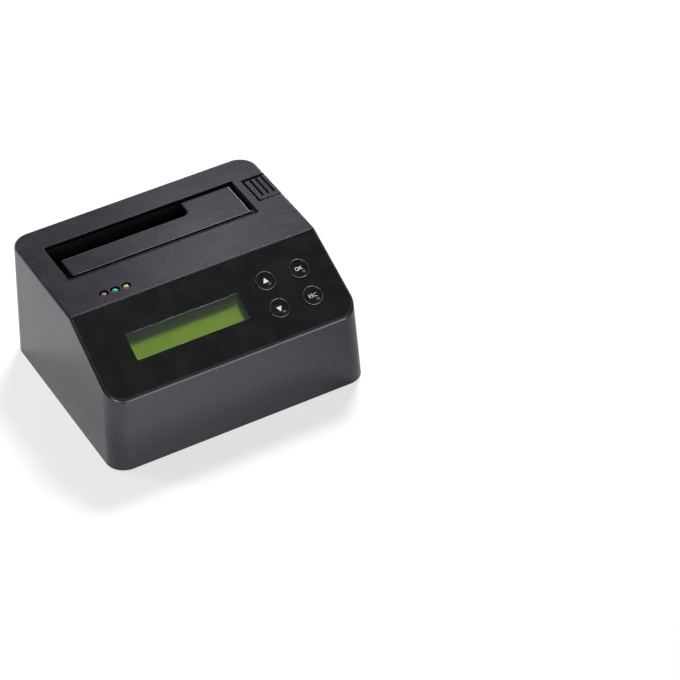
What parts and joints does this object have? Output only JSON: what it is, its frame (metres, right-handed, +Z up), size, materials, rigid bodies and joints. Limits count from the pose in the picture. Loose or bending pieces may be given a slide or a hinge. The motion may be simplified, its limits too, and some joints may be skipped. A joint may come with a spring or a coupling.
{
  "type": "hard drive eraser dock",
  "caption": "Desktop dock that erases a bare drive stood in its top slot: wedge-shaped charcoal housing, gloss sloped panel with display and round keys, sprung L-shaped flap, eject button.",
  "frame": {"origin": "on the table under the middle of the footprint", "axes": "+Z up, +X to the right as seen from the front, -Y is the front with the sloped panel"},
  "size_m": [0.1456, 0.1224, 0.0692],
  "materials": {
    "housing_plastic": "fine matte charcoal moulding",
    "flap_plastic": "fine matte dark grey moulding",
    "well_plastic": "matte black moulding",
    "panel_gloss": "gloss black",
    "window_clear": "clear acrylic",
    "lcd_green": "unlit yellow-green display",
    "lamp_light_guide": "milky light guide",
    "key_black": "gloss black",
    "switch_black": "black moulding",
    "plunger_tan": "brown plunger",
    "board_green": "green solder mask",
    "steel": "plain steel",
    "spring_steel": "spring wire",
    "rubber_black": "soft black rubber",
    "lens_red": "unlit red lamp",
    "lens_green": "unlit green lamp",
    "lens_yellow": "unlit yellow lamp",
    "chip_black": "moulded package",
    "can_aluminium": "sleeveless can",
    "connector_black": "glass-filled moulding",
    "contact_gold": "gold-plated strip",
    "socket_white": "ivory moulding",
    "cable_white": "laminated flat cable",
    "bezel_steel": "black sheet frame"
  },
  "bodies": {
    "dock": {"upper_housing": "housing_plastic", "base_plate": "well_plastic", "base_screws": "steel", "rubber_feet": "rubber_black", "front_panel": "panel_gloss", "lcd_window": "window_clear", "lcd_bezel": "bezel_steel", "lcd_glass": "lcd_green", "lcd_backlight": "lamp_light_guide", "lcd_board": "board_green", "tact_switches": "switch_black", "key_board": "board_green", "led_leads": "steel", "led_board": "board_green", "drive_well": "well_plastic", "well_screws": "steel", "flap_pin": "steel", "flap_spring": "spring_steel", "eject_spring": "spring_steel", "eject_pivot_pin": "steel", "main_board": "board_green", "board_screws": "steel", "controller_chips": "chip_black", "capacitors": "can_aluminium", "sata_connector": "connector_black", "sata_contacts": "contact_gold", "usb_shell": "steel", "usb_insert": "connector_black", "dc_jack": "connector_black", "dc_pin": "steel", "switch_frame": "switch_black", "ribbon_sockets": "socket_white", "display_ribbon": "cable_white", "led_red": "lens_red", "led_green": "lens_green", "led_yellow": "lens_yellow"},
    "flap": {"drive_flap": "flap_plastic"},
    "ejector": {"eject_button": "housing_plastic"},
    "ejector_arm": {"eject_lever": "connector_black"},
    "rocker": {"power_rocker": "key_black"},
    "up_key": {"key_up": "key_black", "plunger_up": "plunger_tan"},
    "ok_key": {"key_ok": "key_black", "plunger_ok": "plunger_tan"},
    "down_key": {"key_down": "key_black", "plunger_down": "plunger_tan"},
    "esc_key": {"key_esc": "key_black", "plunger_esc": "plunger_tan"}
  },
  "joints": [
    {"name": "flap_hinge", "type": "hinge", "parent": "dock", "child": "flap", "pos_m": [0, 0.01493, 0.0667], "axis": [-1, 0, 0], "range_deg": [0, 88], "stiffness_Nm_per_rad": 0.006, "springref_deg": -60.16, "deforming": ["flap_spring"]},
    {"name": "eject_press", "type": "slide", "parent": "dock", "child": "ejector", "axis": [0, 0, -1], "range_m": [0, 0.0045], "stiffness_N_per_m": 400, "springref_m": -0.004, "deforming": ["eject_spring"]},
    {"name": "eject_lever_hinge", "type": "hinge", "parent": "dock", "child": "ejector_arm", "pos_m": [0.0399, 0.03035, 0.0112], "axis": [0, 1, 0], "range_deg": [0, 11.74]},
    {"name": "up_key_press", "type": "slide", "parent": "dock", "child": "up_key", "axis": [0, 0.477, -0.8789], "range_m": [0, 0.0005], "stiffness_N_per_m": 2000, "springref_m": -0.0003},
    {"name": "ok_key_press", "type": "slide", "parent": "dock", "child": "ok_key", "axis": [0, 0.477, -0.8789], "range_m": [0, 0.0005], "stiffness_N_per_m": 2000, "springref_m": -0.0003},
    {"name": "down_key_press", "type": "slide", "parent": "dock", "child": "down_key", "axis": [0, 0.477, -0.8789], "range_m": [0, 0.0005], "stiffness_N_per_m": 2000, "springref_m": -0.0003},
    {"name": "esc_key_press", "type": "slide", "parent": "dock", "child": "esc_key", "axis": [0, 0.477, -0.8789], "range_m": [0, 0.0005], "stiffness_N_per_m": 2000, "springref_m": -0.0003},
    {"name": "rocker_turn", "type": "hinge", "parent": "dock", "child": "rocker", "pos_m": [0.032, 0.05532, 0.0122], "axis": [0, 0, 1], "range_deg": [0, 16]}
  ],
  "couplings": [
    {"joint": "eject_lever_hinge", "follows": "eject_press", "rad_per_m": 44.949}
  ]
}
